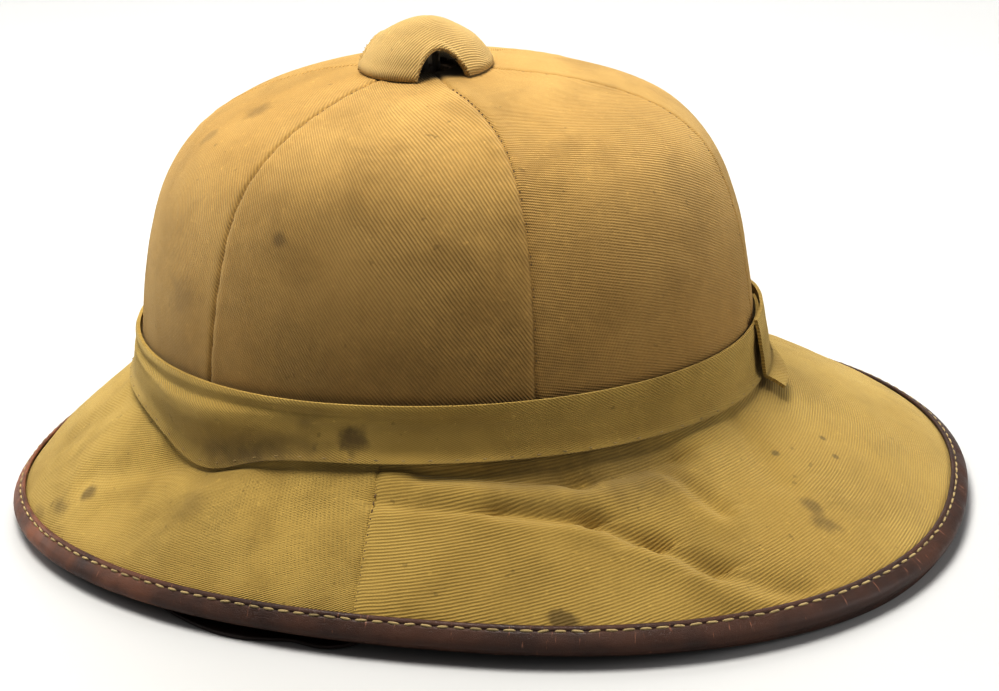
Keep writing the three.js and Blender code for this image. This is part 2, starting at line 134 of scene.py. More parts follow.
def ring_points(ring, az):
    zf, zs, zr, spine, front, rear, side, square, skew = ring
    t = np.radians(az + skew * np.sin(np.radians(az)))
    c, s = np.cos(t), np.sin(t)
    x = spine + np.where(c > 0, rear, front) * np.sign(c) * np.abs(c) ** (2 / square)
    y = side * np.sign(s) * np.abs(s) ** (2 / square)
    z = np.where(c > 0, zr, zf) * c * c + zs * s * s
    return np.stack([x, y, z], -1)


def controls(az):
    """Rows x azimuths x 3, the smooth face without folds."""
    rows = [ring_points(r, az) for r in RING]
    bell = np.exp(-(turn(DENT_AZ, az) / DENT_HALF) ** 2)
    rows[ROW_BRIM][..., 2] -= DENT_DEEP * bell
    rows[ROW_GORE_END][..., 2] -= 0.4 * DENT_DEEP * bell
    root, rim = rows[ROW_BRIM], ring_points(RIM, az)
    span = rim - root
    flat = span * [1, 1, 0]
    level = np.linalg.norm(flat, axis=-1, keepdims=True)
    fall = np.arctan2(-span[..., 2:3], level)
    rise = flat / level * np.sin(fall) + np.array([0, 0, 1.0]) * np.cos(fall)
    for along, f, s, r in BRIM:
        rows.append(root + span * along + rise * blend_round(az, f, s, r)[..., None])
    return np.array(rows)


def face(row, az):
    """Points of the face for matching arrays of row and azimuth, in mm."""
    row, az = np.broadcast_arrays(np.asarray(row, float), np.asarray(az, float))
    flat_row, flat_az = row.ravel(), az.ravel()
    uniq, back = np.unique(np.round(flat_az, 6), return_inverse=True)
    ctl = controls(uniq)
    i = np.clip(np.floor(flat_row).astype(int), 0, ROW_RIM - 1)
    f = (flat_row - i)[:, None]
    a, b = ctl[np.maximum(i - 1, 0), back], ctl[i, back]
    c, d = ctl[i + 1, back], ctl[np.minimum(i + 2, ROW_RIM), back]
    p = 0.5 * (2 * b + (c - a) * f + (2 * a - 5 * b + 4 * c - d) * f ** 2
               + (3 * b - a - 3 * c + d) * f ** 3)
    return p.reshape(row.shape + (3,))


def face_frame(row, az):
    row, az = np.broadcast_arrays(np.asarray(row, float), np.asarray(az, float))
    low, high = np.maximum(row - 0.05, 0), np.minimum(row + 0.05, ROW_RIM)
    around = face(row, az + 0.6) - face(row, az - 0.6)
    down = face(high, az) - face(low, az)
    around /= np.linalg.norm(around, axis=-1, keepdims=True)
    off = np.cross(down, around)
    off /= np.linalg.norm(off, axis=-1, keepdims=True)
    return around, off, np.cross(around, off)


def along_of(row):
    return np.interp(row, np.arange(ROW_BRIM, ROW_RIM + 1), np.r_[0, BRIM[:, 0]])


def folds(row, az):
    """How far the brim cloth is moved off its face by its folds, in mm."""
    along = along_of(row)
    root, rim = face(ROW_BRIM + 0 * row, az), face(ROW_RIM + 0 * row, az)
    long = np.linalg.norm(rim - root, axis=-1)
    arc = np.linalg.norm(face(row, az) * [1, 1, 0], axis=-1) * math.pi / 180
    total = np.zeros(np.shape(along))
    for a0, w0, a1, w1, deep, half, steep in FOLDS:
        run_x, run_y = turn(a0, a1) * arc, (w1 - w0) * long
        x, y = turn(a0, az) * arc, (along - w0) * long
        part = np.clip((x * run_x + y * run_y) / (run_x ** 2 + run_y ** 2), 0, 1)
        dx, dy = x - run_x * part, y - run_y * part
        away = np.hypot(dx, dy)
        below = dy > 0
        half_here = np.where(below, half / steep, half)
        total -= deep * np.exp(-(away / half_here) ** 2)
        if deep > 1.2:
            total += 0.45 * deep * np.exp(-((away - 1.9 * half / steep) / (1.2 * half)) ** 2) * below
    fade = ease(along / 0.06) * ease((0.97 - along) / 0.12)
    return 1.3 * total * fade


# Waves that make glued cloth uneven: direction, phase and length in mm.
WAVE_LENGTHS = (60, 60, 38, 38, 24, 24, 15, 15)
WAVES = [(rng.uniform(-1, 1, 3), rng.uniform(0, 6.28), length) for length in WAVE_LENGTHS]


def ripple(points):
    """Slow unevenness of glued cloth, about -1 to 1."""
    total = np.zeros(points.shape[:-1])
    for direction, phase, size in WAVES:
        unit = direction / np.linalg.norm(direction)
        total += np.sin(points @ unit * (6.283 / size) + phase) * (size / 60)
    return total / 3


# ---------------------------------------------------------------- meshes
def make_mesh(name, verts, faces, uvs=None, smooth=True):
    mesh = bpy.data.meshes.new(name)
    mesh.from_pydata([tuple(v) for v in verts], [], [tuple(f) for f in faces])
    if uvs is not None:
        layer = mesh.uv_layers.new(name="weave")
        corner = np.zeros(len(mesh.loops), int)
        mesh.loops.foreach_get("vertex_index", corner)
        layer.data.foreach_set("uv", np.asarray(uvs, float)[corner].ravel())
    mesh.polygons.foreach_set("use_smooth", [smooth] * len(mesh.polygons))
    mesh.update()
    piece = bpy.data.objects.new(name, mesh)
    bpy.context.scene.collection.objects.link(piece)
    return piece


def grid_solid(name, outer, inner, uvs, looped=False):
    """Closed wall between two grids (columns x rows x 3, mm)."""
    cols, rows = outer.shape[:2]
    n = cols * rows
    verts = np.concatenate([outer.reshape(-1, 3), inner.reshape(-1, 3)]) * MM
    uv = np.concatenate([uvs.reshape(-1, 2)] * 2)
    j = np.arange(cols if looped else cols - 1)
    k = (j + 1) % cols
    i = np.arange(rows - 1)
    J, I = np.meshgrid(j, i, indexing="ij")
    K = (J + 1) % cols
    a, b, c, d = J * rows + I, J * rows + I + 1, K * rows + I + 1, K * rows + I
    out = np.stack([a, b, c, d], -1).reshape(-1, 4)
    inn = np.stack([d, c, b, a], -1).reshape(-1, 4) + n
    top = np.stack([k * rows + n, j * rows + n, j * rows, k * rows], -1)
    e = rows - 1
    bottom = np.stack([j * rows + e + n, k * rows + e + n, k * rows + e, j * rows + e], -1)
    faces = [out, inn, top, bottom]
    if not looped:
        faces.append(np.stack([i, i + n, i + 1 + n, i + 1], -1))
        z = (cols - 1) * rows
        faces.append(np.stack([z + i + 1, z + i + 1 + n, z + i + n, z + i], -1))
    faces = np.concatenate(faces)
    piece = make_mesh(name, verts, faces, uv)
    fix_normals(piece)
    return piece


def fix_normals(piece):
    bm = bmesh.new()
    bm.from_mesh(piece.data)
    bmesh.ops.remove_doubles(bm, verts=bm.verts, dist=1e-7)
    bmesh.ops.recalc_face_normals(bm, faces=bm.faces)
    bm.to_mesh(piece.data)
    bm.free()
    piece.data.polygons.foreach_set("use_smooth", [True] * len(piece.data.polygons))
    piece.data.set_sharp_from_angle(angle=math.radians(62))


# ---------------------------------------------------------------- materials
class Nodes:
    """Short names for building a node tree."""

    def __init__(self, name):
        self.material = bpy.data.materials.new(name)
        self.material.use_nodes = True
        self.tree = self.material.node_tree
        self.bsdf = self.tree.nodes["Principled BSDF"]

    def node(self, kind, **settings):
        made = self.tree.nodes.new(kind)
        for key, value in settings.items():
            setattr(made, key, value)
        return made

    def link(self, source, target):
        self.tree.links.new(source, target)

    def put(self, socket, value):
        if isinstance(value, bpy.types.NodeSocket):
            self.link(value, socket)
        else:
            socket.default_value = value

    def math(self, operation, a, b=0.0, c=0.0, clamp=False):
        made = self.node("ShaderNodeMath", operation=operation, use_clamp=clamp)
        for socket, value in zip(made.inputs, (a, b, c)):
            self.put(socket, value)
        return made.outputs[0]

    def noise(self, vector, scale, detail=3.0, rough=0.55, distort=0.0):
        made = self.node("ShaderNodeTexNoise")
        self.link(vector, made.inputs["Vector"])
        made.inputs["Scale"].default_value = scale
        made.inputs["Detail"].default_value = detail
        made.inputs["Roughness"].default_value = rough
        made.inputs["Distortion"].default_value = distort
        return made.outputs["Fac"]

    def ramp(self, value, low, high, a=0.0, b=1.0):
        made = self.node("ShaderNodeMapRange", interpolation_type="SMOOTHSTEP")
        self.link(value, made.inputs["Value"])
        for key, number in (("From Min", low), ("From Max", high), ("To Min", a), ("To Max", b)):
            made.inputs[key].default_value = number
        return made.outputs["Result"]

    def mix(self, factor, a, b, mode="MIX"):
        made = self.node("ShaderNodeMix", data_type="RGBA", blend_type=mode)
        self.put(made.inputs["Factor"], factor)
        self.put(made.inputs["A"], a if isinstance(a, bpy.types.NodeSocket) else (*a, 1))
        self.put(made.inputs["B"], b if isinstance(b, bpy.types.NodeSocket) else (*b, 1))
        return made.outputs["Result"]

    def place(self):
        return self.node("ShaderNodeTexCoord").outputs["Object"]

    def uv(self, name="weave"):
        return self.node("ShaderNodeUVMap", uv_map=name).outputs["UV"]

    def split(self, vector):
        made = self.node("ShaderNodeSeparateXYZ")
        self.link(vector, made.inputs[0])
        return made.outputs

    def bump(self, height, distance, strength=1.0, normal=None):
        made = self.node("ShaderNodeBump")
        made.inputs["Strength"].default_value = strength
        made.inputs["Distance"].default_value = distance
        self.link(height, made.inputs["Height"])
        if normal is not None:
            self.link(normal, made.inputs["Normal"])
        return made.outputs["Normal"]

    def spot(self, centre, radius, soft=0.5, stretch=(1, 1, 1), wobble=None):
        """1 inside a round patch at a place on the object, 0 outside."""
        shift = self.node("ShaderNodeVectorMath", operation="SUBTRACT")
        self.link(self.place(), shift.inputs[0])
        shift.inputs[1].default_value = centre
        scale = self.node("ShaderNodeVectorMath", operation="MULTIPLY")
        self.link(shift.outputs[0], scale.inputs[0])
        scale.inputs[1].default_value = [s / radius for s in stretch]
        length = self.node("ShaderNodeVectorMath", operation="LENGTH")
        self.link(scale.outputs[0], length.inputs[0])
        value = length.outputs["Value"]
        if wobble is not None:
            value = self.math("ADD", value, self.math("MULTIPLY", self.math("SUBTRACT", wobble, 0.5), 1.3))
        return self.ramp(value, 1 - soft, 1 + soft, 1.0, 0.0)


def on_face(row, az, lift=1.5):
    point = face(row, az) + face_frame(row, az)[1] * lift
    return tuple(float(v) * MM for v in point)


# Marks on the cloth, stains and in some rows painted shade: row, azimuth, radius in metres, softness,
# stretch, darkness.
CROWN_MARKS = [
    # The first two rows are painted shade: broad darkening of the wall at azimuths -90 and -40.
    (6.0, -90, 0.050, 0.9, (1, 1, 0.8), 0.22),
    (6.4, -40, 0.042, 0.9, (1, 1, 1.0), 0.2),
    (7.6, -70, 0.030, 0.9, (0.6, 1, 1.6), 0.15),
    (7.4, -140, 0.022, 0.9, (1, 1, 1.0), 0.16),
    (2.8, -148, 0.0045, 0.6, (1, 1, 1), 0.35),
    (3.7, -152, 0.0032, 0.5, (1, 1, 0.6), 0.3),
    (5.15, -106, 0.0026, 0.5, (1, 1, 1), 0.45),
    (6.6, -132, 0.006, 0.7, (1, 1, 1), 0.18),
    (4.6, -20, 0.007, 0.8, (1, 1, 0.5), 0.12),
    (5.1, 40, 0.006, 0.6, (1, 1, 1), 0.2),
    (3.4, 110, 0.008, 0.7, (1, 1, 1), 0.16),
]
BAND_MARKS = [
    (9.15, -91.5, 0.0048, 0.45, (1, 1, 1), 0.75),
    (8.8, -91, 0.002, 0.5, (1, 1, 0.5), 0.4),
    (8.7, -98, 0.0035, 0.7, (1, 1, 1), 0.3),
    (9.5, -99, 0.0014, 0.4, (1, 1, 0.5), 0.6),
    # These two long soft patches are painted shade on the band's lower part by the dent.
    (9.8, -115, 0.011, 0.8, (0.7, 1, 2.2), 0.45),
    (9.75, -108, 0.013, 0.8, (0.7, 1, 2.2), 0.45),
    (9.3, 70, 0.005, 0.6, (1, 1, 1), 0.3),
]
BRIM_MARKS = [
    (15.6, -70.5, 0.0052, 0.3, (1, 1.6, 2.0), 0.62),
    (16.1, -85, 0.0022, 0.6, (1, 1, 1), 0.7),
    (13.9, -139, 0.0032, 0.45, (1, 1, 0.7), 0.6),
    (14.9, -142, 0.0042, 0.8, (0.7, 1, 2.2), 0.38),
    (15.7, -146, 0.004, 0.8, (0.6, 1, 2.2), 0.3),
    (12.2, -22, 0.0014, 0.4, (1, 1, 1), 0.6),
    (12.7, -9, 0.0012, 0.4, (1, 1, 1), 0.6),
    (13.2, -12, 0.0012, 0.4, (1, 1, 1), 0.6),
    (13.8, -27, 0.0026, 0.6, (0.5, 1, 1), 0.5),
    (14.3, -28, 0.003, 0.6, (0.5, 1, 1), 0.45),
    # These two long soft patches are painted shade in the fold below the band.
    (11.3, -50, 0.014, 0.9, (0.7, 1, 1.6), 0.45),
    (11.2, -66, 0.012, 0.9, (0.7, 1, 1.8), 0.35),
    (12.6, -118, 0.005, 0.8, (1, 1, 1), 0.2),
    (14.0, 60, 0.006, 0.6, (1, 1, 1), 0.25),
    (13.0, 150, 0.005, 0.6, (1, 1, 1), 0.3),
]


def twill(name, light, dark, angle, pitch, marks, shade, weave_depth=0.00026):
    """Cotton twill: slanting wales, threads across them, soiling mixed with painted shade low down, painted
    shade in the weave's grooves and under the vent cap, and spots and marks, some of them painted shade.
    """
    n = Nodes(name)
    place = n.place()
    turned = n.node("ShaderNodeMapping", vector_type="POINT")
    n.link(n.uv(), turned.inputs["Vector"])
    turned.inputs["Rotation"].default_value[2] = math.radians(angle)
    wander = n.noise(place, 90, 3)
    x, y, _ = n.split(turned.outputs[0])
    x = n.math("ADD", x, n.math("MULTIPLY", wander, pitch * 0.7))
    wale = n.math("SINE", n.math("MULTIPLY", x, 6.2832 / pitch))
    steps = n.math("SINE", n.math("ADD", n.math("MULTIPLY", y, 6.2832 / (pitch * 0.62)),
                                  n.math("MULTIPLY", x, 6.2832 / pitch)))
    slub = n.node("ShaderNodeMapping", vector_type="POINT")
    n.link(turned.outputs[0], slub.inputs["Vector"])
    slub.inputs["Scale"].default_value = (1.0, 0.16, 1.0)
    fibre = n.noise(slub.outputs[0], 2800, 2, 0.6)
    worn = n.ramp(n.noise(place, 30, 3), 0.35, 0.62, 0.2, 0.42)
    height = n.math("ADD", n.math("MULTIPLY", wale, worn), n.math("MULTIPLY", steps, 0.14))
    height = n.math("ADD", height, n.math("MULTIPLY", fibre, 0.5))
    groove = n.ramp(height, -0.2, 0.65)
    broad = n.noise(place, 11, 4, 0.6)
    middle = n.noise(place, 45, 4, 0.62, 0.4)
    fine = n.noise(place, 420, 3, 0.7)
    tone = n.mix(n.ramp(broad, 0.35, 0.66), light, dark)
    tone = n.mix(n.math("MULTIPLY", n.ramp(middle, 0.46, 0.7), 0.42), tone, tuple(c * 0.72 for c in dark))
    # Painted shade: the low parts of the weave between the wales are darkened.
    tone = n.mix(n.math("MULTIPLY", n.ramp(groove, 1.0, 0.0), 0.5), tone, tuple(c * 0.5 for c in dark))
    bleached = tuple(min(1, c * 1.5) for c in light)
    tone = n.mix(n.math("MULTIPLY", n.ramp(fine, 0.62, 0.75), 0.28), tone, bleached)
    speck = n.ramp(n.noise(place, 230, 2, 0.5), 0.71, 0.76)
    tone = n.mix(n.math("MULTIPLY", speck, 0.45), tone, tuple(c * 0.35 for c in dark))
    # Painted shade mixed with soiling: the cloth is darkened towards the bottom of the given height range.
    low, high, amount = shade
    height_z = n.split(place)[2]
    ragged = n.math("ADD", height_z, n.math("MULTIPLY", broad, 0.03))
    soil_and_painted_shade = n.math("MULTIPLY", n.ramp(ragged, low, high, 1.0, 0.0), amount)
    tone = n.mix(soil_and_painted_shade, tone, tuple(c * f for c, f in zip(dark, (0.62, 0.58, 0.5))))
    wobble = n.noise(place, 210, 3)
    # Painted shade: the crown cloth under the vent cap is made near black, in place of the shadow there.
    painted_shade_under_cap = n.spot((CAP_X * MM, 0, 0.155), 0.0195, 0.12)
    tone = n.mix(n.math("MULTIPLY", painted_shade_under_cap, 0.85), tone, (0.03, 0.02, 0.012))
    # Marks darken the cloth: stains, and in some rows painted shade.
    for row, az, radius, soft, stretch, dark_by in marks:
        mark = n.spot(on_face(row, az), radius, soft, stretch, wobble)
        tone = n.mix(n.math("MULTIPLY", mark, dark_by), tone, (0.07, 0.045, 0.022))
    n.link(tone, n.bsdf.inputs["Base Color"])
    n.bsdf.inputs["Roughness"].default_value = 0.92
    n.bsdf.inputs["Specular IOR Level"].default_value = 0.22
    n.bsdf.inputs["Sheen Weight"].default_value = 0.25
    n.bsdf.inputs["Sheen Roughness"].default_value = 0.5
    n.bsdf.inputs["Sheen Tint"].default_value = (0.95, 0.85, 0.6, 1)
    uneven = n.bump(n.math("ADD", middle, n.math("MULTIPLY", broad, 0.6)), 0.0016, 0.35)
    n.link(n.bump(height, weave_depth, 1.0, uneven), n.bsdf.inputs["Normal"])
    return n.material


def leather(name, colour, worn, wear=0.5, rough=0.42):
    n = Nodes(name)
    place = n.place()
    grain = n.node("ShaderNodeTexVoronoi", feature="DISTANCE_TO_EDGE")
    n.link(place, grain.inputs["Vector"])
    grain.inputs["Scale"].default_value = 1500
    creases = n.ramp(grain.outputs["Distance"], 0.0, 0.12)
    broad = n.noise(place, 28, 4, 0.6)
    streak = n.node("ShaderNodeMapping", vector_type="POINT")
    n.link(n.uv(), streak.inputs["Vector"])
    streak.inputs["Scale"].default_value = (1.0, 0.12, 1.0)
    scratches = n.noise(streak.outputs[0], 900, 3, 0.65)
    patches = n.noise(place, 75, 3, 0.6)
    tone = n.mix(n.ramp(broad, 0.38, 0.66), colour, tuple(c * 0.75 for c in colour))
    rubbed = n.math("ADD", n.math("MULTIPLY", patches, 0.3), n.math("MULTIPLY", broad, 0.7))
    front = n.ramp(n.split(place)[0], -0.16, -0.04, 1.0, 0.25)
    rub = n.math("MULTIPLY", n.math("MULTIPLY", n.ramp(rubbed, 0.34, 0.62), wear), front)
    tone = n.mix(rub, tone, worn)
    scuffed = tuple(min(1, c * 2.4 + 0.05) for c in worn)
    tone = n.mix(n.math("MULTIPLY", n.ramp(scratches, 0.63, 0.72), 0.4), tone, scuffed)
    n.link(tone, n.bsdf.inputs["Base Color"])
    n.link(n.ramp(patches, 0.3, 0.7, rough - 0.08, rough + 0.16), n.bsdf.inputs["Roughness"])
    n.bsdf.inputs["Specular IOR Level"].default_value = 0.32
    height = n.math("ADD", n.math("MULTIPLY", creases, 0.5), n.math("MULTIPLY", scratches, 0.5))
    wrinkle = n.bump(patches, 0.0009, 0.5)
    n.link(n.bump(height, 0.00014, 0.9, wrinkle), n.bsdf.inputs["Normal"])
    return n.material


def thread(name, colour, twist=2600):
    n = Nodes(name)
    place = n.place()
    fine = n.noise(place, twist, 2)
    dirt = n.noise(place, 60, 3)
    tone = n.mix(n.ramp(dirt, 0.45, 0.7), colour, tuple(c * 0.55 for c in colour))
    tone = n.mix(n.math("MULTIPLY", n.ramp(fine, 0.4, 0.6), 0.35), tone, tuple(c * 0.6 for c in colour))
    n.link(tone, n.bsdf.inputs["Base Color"])
    n.bsdf.inputs["Roughness"].default_value = 0.75
    n.link(n.bump(fine, 0.0001, 0.8), n.bsdf.inputs["Normal"])
    return n.material


def cork(name):
    n = Nodes(name)
    place = n.place()
    cells = n.node("ShaderNodeTexVoronoi", feature="F1")
    n.link(place, cells.inputs["Vector"])
    cells.inputs["Scale"].default_value = 420
    edge = n.node("ShaderNodeTexVoronoi", feature="DISTANCE_TO_EDGE")
    n.link(place, edge.inputs["Vector"])
    edge.inputs["Scale"].default_value = 420
    shade = n.split(cells.outputs["Color"])[0]
    tone = n.mix(shade, (0.46, 0.29, 0.15), (0.28, 0.16, 0.08))
    gaps = n.ramp(edge.outputs["Distance"], 0.0, 0.09, 1.0, 0.0)
    tone = n.mix(n.math("MULTIPLY", gaps, 0.6), tone, (0.09, 0.05, 0.025))
    broad = n.noise(place, 16, 4, 0.6)
    tone = n.mix(n.math("MULTIPLY", n.ramp(broad, 0.45, 0.7), 0.35), tone, (0.2, 0.125, 0.07))
    n.link(tone, n.bsdf.inputs["Base Color"])
    n.bsdf.inputs["Roughness"].default_value = 0.95
    height = n.math("ADD", n.math("MULTIPLY", shade, 0.5), n.ramp(edge.outputs["Distance"], 0.0, 0.1))
    n.link(n.bump(height, 0.0004, 0.8), n.bsdf.inputs["Normal"])
    return n.material


def metal(name):
    n = Nodes(name)
    place = n.place()
    spots = n.noise(place, 300, 4, 0.6)
    tone = n.mix(n.ramp(spots, 0.5, 0.65), (0.4, 0.38, 0.35), (0.17, 0.12, 0.08))
    n.link(tone, n.bsdf.inputs["Base Color"])
    n.bsdf.inputs["Metallic"].default_value = 0.85
    n.link(n.ramp(spots, 0.4, 0.7, 0.38, 0.7), n.bsdf.inputs["Roughness"])
    n.link(n.bump(n.noise(place, 900, 2), 0.0001, 0.5), n.bsdf.inputs["Normal"])
    return n.material


CROWN_LIGHT, CROWN_DARK = (0.56, 0.37, 0.135), (0.46, 0.29, 0.095)
BRIM_LIGHT, BRIM_DARK = (0.47, 0.335, 0.105), (0.385, 0.265, 0.075)
CAP_LIGHT, CAP_DARK = (0.60, 0.43, 0.19), (0.52, 0.36, 0.145)
FINE_WALE, BROAD_WALE = 0.00092, 0.00098
# Where the cloth darkens towards the bottom, partly soiling and partly painted shade: lowest and highest
# height in metres, and how much.
CROWN_SOIL_AND_SHADE, BAND_SOIL_AND_SHADE = (0.07, 0.165, 0.6), (0.035, 0.085, 0.35)
BRIM_SOIL_AND_SHADE, CAP_SOIL_AND_SHADE = (0.0, 0.02, 0.1), (0.0, 0.05, 0.0)
BRIM_WEAVE, CAP_WEAVE = 0.00026, 0.0003
# The angle of the wales on each gore.
GORE_WALES = {1: 48, 2: 32, 3: 64, 4: 40, 5: 30, 6: 60}
crown_cloth = [
    twill(f"crown_twill_{k}", CROWN_LIGHT, CROWN_DARK, GORE_WALES[k], FINE_WALE, CROWN_MARKS, CROWN_SOIL_AND_SHADE)
    for k in range(1, 7)
]
cap_cloth = twill("cap_twill", CAP_LIGHT, CAP_DARK, 35, BROAD_WALE, [], CAP_SOIL_AND_SHADE, CAP_WEAVE)
cap_inside_painted_shade = thread("cap_inside_painted_shade", (0.045, 0.03, 0.016))
band_cloth = twill("band_twill", BRIM_LIGHT, BRIM_DARK, 48, FINE_WALE, BAND_MARKS, BAND_SOIL_AND_SHADE)
brim_front_cloth, brim_rear_cloth = [
    twill(f"brim_{end}_twill", BRIM_LIGHT, BRIM_DARK, wales, BROAD_WALE, BRIM_MARKS, BRIM_SOIL_AND_SHADE, BRIM_WEAVE)
    for end, wales in (("front", -38), ("rear", -83))
]
rim_leather = leather("rim_leather", (0.045, 0.024, 0.018), (0.26, 0.11, 0.06), 0.9, 0.42)
strap_leather = leather("strap_leather", (0.022, 0.012, 0.01), (0.06, 0.025, 0.018), 0.4, 0.5)
pale_thread = thread("pale_thread", (0.40, 0.31, 0.155))
dark_thread = thread("dark_thread", (0.15, 0.095, 0.045))
band_thread = thread("band_thread", (0.36, 0.26, 0.11))
cork_look = cork("cork")
metal_look = metal("dull_metal")


def finish_piece(piece, material, nodes=()):
    piece.data.materials.clear()
    piece.data.materials.append(material)
    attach(piece, "root")
    if nodes:
        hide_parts(*nodes)
    return piece


# ---------------------------------------------------------------- cork shell
def spaced(first, last, step):
    return np.linspace(first, last, int(round((last - first) / step)) + 1)


SHELL_CLEAR = 0.3
shell_az = spaced(-180, 180, 2.0)[:-1]
shell_rows = np.r_[spaced(0, ROW_BRIM, 0.2), spaced(ROW_BRIM + 0.2, ROW_RIM, 0.2)]
AZ, ROWS = np.meshgrid(shell_az, shell_rows, indexing="ij")
base = face(ROWS, AZ)
off = face_frame(ROWS, AZ)[1]
fold_shell = np.where(ROWS > ROW_BRIM, folds(np.maximum(ROWS, ROW_BRIM), AZ), 0) * 1.1
sunk = np.minimum(fold_shell, 0)[..., None]
outer = base + off * (sunk - SHELL_CLEAR)
inner = base + off * (sunk - CORK_WALL)
uv = np.stack([AZ * 0.0017, ROWS * 0.012], -1)
shell = grid_solid("cork_shell_visual", outer, inner, uv, looped=True)
finish_piece(shell, cork_look, ["cork_shell"])


# ---------------------------------------------------------------- crown cloth
def panel_uv(points, az, rows, middle):
    """Flat lay-out of a panel: arc length across and along, in metres."""
    along = np.concatenate([np.zeros((points.shape[0], 1)),
                            np.cumsum(np.linalg.norm(np.diff(points, axis=1), axis=-1), axis=1)], 1)
    radius = np.linalg.norm(points[..., :2] - [CAP_X, 0], axis=-1)
    across = (az - middle) * math.pi / 180 * radius
    return np.stack([across, along], -1) * MM


def seam_shape(away):
    """Cloth near a seam, by distance from it in mm: sunk line, raised allowance."""
    return -0.55 * np.exp(-(away / 0.6) ** 2) + 0.22 * np.exp(-((away - 2.6) / 2.0) ** 2)


# Columns of a gore, as shares of its width, close together at its seams.
SEAM_SHARES = np.array([0.003, 0.008, 0.014, 0.022, 0.034])
gore_shares = np.r_[0.0, SEAM_SHARES, spaced(0.05, 0.95, 0.02), 1 - SEAM_SHARES[::-1], 1.0]
PUCKER_PITCH = 7.5
gore_rows = spaced(0.25, ROW_GORE_END, 0.1)
for k in range(1, 7):
    first = -180 + (k - 1) * 60
    az = first + 60 * gore_shares
    AZ, ROWS = np.meshgrid(az, gore_rows, indexing="ij")
    base, off = face(ROWS, AZ), face_frame(ROWS, AZ)[1]
    radius = np.linalg.norm(base[..., :2] - [CAP_X, 0], axis=-1)
    away = np.minimum(AZ - first, first + 60 - AZ) * math.pi / 180 * radius
    from_top = np.linalg.norm(base - base[:, :1], axis=-1)
    pucker = 0.10 * np.exp(-(away / 5.0) ** 2) * np.sin(from_top * TURN / PUCKER_PITCH + k)
    lift = CLOTH_OVER + seam_shape(away) + pucker + 0.28 * ripple(base) * ease(away / 12)
    outer = base + off * lift[..., None]
    inner = base + off * 0.05
    uv = panel_uv(base, AZ, ROWS, first + 30)
    gore = grid_solid(f"crown_gore_{k}_cloth", outer, inner, uv)
    finish_piece(gore, crown_cloth[k - 1], [f"crown_gore_{k}"])


# ---------------------------------------------------------------- brim cloth
def brim_panel(name, first, node, material):
    edge = np.array([0.0, 0.0012, 0.003, 0.005, 0.008, 0.012])
    az = first + 180 * np.r_[edge, spaced(0.016, 0.984, 0.0044), 1 - edge[::-1]]
    rows = spaced(ROW_BRIM - 0.25, ROW_RIM, 0.075)
    AZ, ROWS = np.meshgrid(az, rows, indexing="ij")
    base, off = face(ROWS, AZ), face_frame(ROWS, AZ)[1]
    radius = np.linalg.norm(base[..., :2], axis=-1)
    away = np.minimum(AZ - first, first + 180 - AZ) * math.pi / 180 * radius
    fold = np.where(ROWS > ROW_BRIM, folds(np.maximum(ROWS, ROW_BRIM), AZ), 0)
    edge_fade = ease((ROW_RIM - 0.6 - ROWS) / 1.6) * ease((ROWS - ROW_BRIM) / 0.8)
    lift = CLOTH_OVER + seam_shape(away) + fold + 0.32 * ripple(base * 1.7) * edge_fade * ease(away / 8)
    outer = base + off * lift[..., None]
    inner = outer - off * (CLOTH_WALL * 0.9)
    uv = panel_uv(base, AZ, ROWS, first + 90)
    piece = grid_solid(name, outer, inner, uv)
    finish_piece(piece, material, [node])
    return piece


brim_front = brim_panel("brim_cover_front_cloth", 90, "brim_cover_front", brim_front_cloth)
brim_rear = brim_panel("brim_cover_rear_cloth", -90, "brim_cover_rear", brim_rear_cloth)

# ---------------------------------------------------------------- folded band
BAND_START, BAND_END = 15, -364
LAP_FROM, LAP_TO, LAP_LIFT = -322.5, -345, 2.1
HEM_AZ, HEM_HALF, HEM_DEEP = -82, 38, 1.5
# Places down the band's height as shares of it, close together at its hems.
TOP_HEM, LOW_HEM = [0.0, 0.02, 0.04, 0.07, 0.1, 0.13, 0.16, 0.19], [0.93, 0.96, 0.98, 1.0]
band_shares = np.r_[TOP_HEM, spaced(0.24, 0.9, 0.055), LOW_HEM]
stations = np.r_[BAND_END, BAND_END + 0.4, BAND_END + 1.0, spaced(BAND_END + 2, BAND_START, 1.5)]
AZ, DOWN = np.meshgrid(stations, band_shares, indexing="ij")
lap = ease((LAP_FROM - AZ) / (LAP_FROM - LAP_TO))
end_flare = np.exp(-((AZ - BAND_END) / 18.0) ** 2)
ROWS = (ROW_TOP - 0.07) + DOWN * (ROW_BRIM + 0.06 - ROW_TOP + 0.07)
ROWS = ROWS - lap * 0.13 * (1 - DOWN) ** 1.5 + lap * 0.25 * DOWN ** 2
ROWS = ROWS + 0.9 * lap * end_flare * DOWN ** 3
base, off = face(ROWS, AZ), face_frame(ROWS, AZ)[1]
gape = np.exp(-(turn(HEM_AZ, AZ) / HEM_HALF) ** 2)
hem = (0.5 + HEM_DEEP * gape) * np.exp(-(DOWN / 0.22) ** 2) * (1 - lap)
front_fold = np.exp(-(turn(-140, AZ) / 52) ** 2)
ridge = (0.55 * np.exp(-((DOWN - 0.05) / 0.035) ** 2) - 0.75 * np.exp(-((DOWN - 0.17) / 0.04) ** 2)
         + 0.55 * np.exp(-((DOWN - 0.27) / 0.06) ** 2)) * front_fold
belly = 0.55 * np.sin(np.pi * DOWN) ** 1.2
foot = (1.1 + 0.9 * np.exp(-(turn(-84, AZ) / 16) ** 2)) * ease((DOWN - 0.72) / 0.28) * (1 - 0.3 * lap)
slack = 0.5 * ripple(base * 1.3 + 20) * ease(DOWN / 0.3) * ease((1 - DOWN) / 0.2)
dent_bell = np.exp(-(turn(DENT_AZ + 3, AZ) / 17) ** 2)
